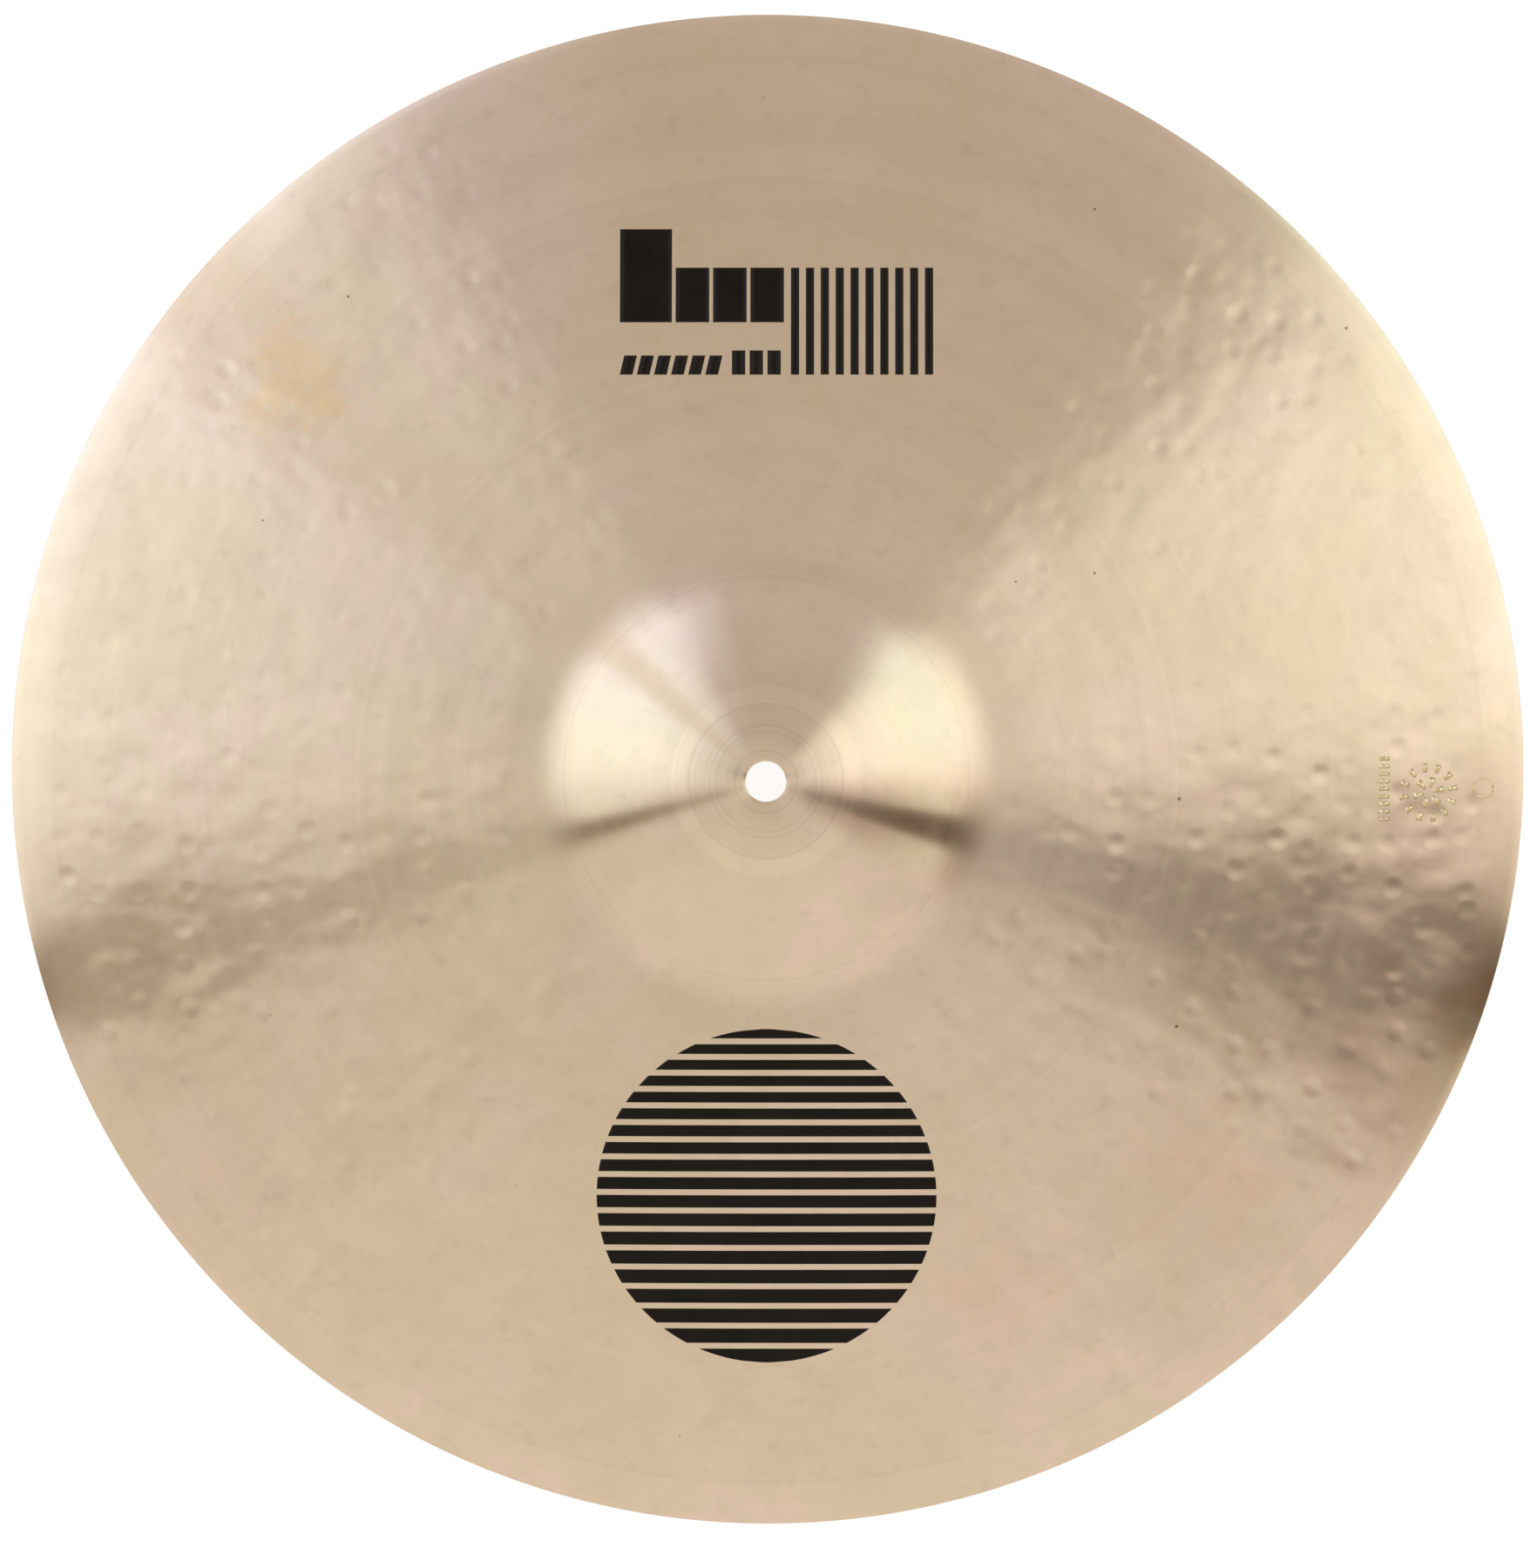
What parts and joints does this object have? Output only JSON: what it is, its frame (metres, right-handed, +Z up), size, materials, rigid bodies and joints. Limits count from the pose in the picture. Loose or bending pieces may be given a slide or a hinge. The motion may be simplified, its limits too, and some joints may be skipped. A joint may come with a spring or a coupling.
{
  "type": "crash cymbal",
  "caption": "Thin round bronze cymbal with a domed bell, a central hole, a curved bow and a tapered edge, printed with plain marks on top.",
  "frame": {"origin": "on the cymbal's axis, at the level of the rim's flat underside, where it rests", "axes": "+Z up along the axis towards the bell, +Y from the axis towards the printed label, +X to the right seen from above"},
  "size_m": [0.4826, 0.4826, 0.0459],
  "materials": {
    "bronze": "turned and lacquered cast bronze, finely grooved round the axis",
    "ink": "glossy dark brown screen-printing ink"
  },
  "bodies": {
    "root": {"cymbal_plate": "bronze", "label_block_1": "ink", "label_block_2": "ink", "label_block_3": "ink", "label_block_4": "ink", "label_dash_1": "ink", "label_dash_2": "ink", "label_dash_3": "ink", "label_dash_4": "ink", "label_dash_5": "ink", "label_dash_6": "ink", "label_stroke_01": "ink", "label_stroke_02": "ink", "label_stroke_03": "ink", "label_stroke_04": "ink", "label_stroke_05": "ink", "label_stroke_06": "ink", "label_stroke_07": "ink", "label_stroke_08": "ink", "label_stroke_09": "ink", "label_stroke_10": "ink", "label_tick_1": "ink", "label_tick_2": "ink", "label_tick_3": "ink", "roundel_bar_01": "ink", "roundel_bar_02": "ink", "roundel_bar_03": "ink", "roundel_bar_04": "ink", "roundel_bar_05": "ink", "roundel_bar_06": "ink", "roundel_bar_07": "ink", "roundel_bar_08": "ink", "roundel_bar_09": "ink", "roundel_bar_10": "ink", "roundel_bar_11": "ink", "roundel_bar_12": "ink", "roundel_bar_13": "ink", "roundel_bar_14": "ink", "roundel_bar_15": "ink", "roundel_bar_16": "ink", "roundel_bar_17": "ink", "roundel_bar_18": "ink", "roundel_bar_19": "ink"}
  },
  "joints": []
}
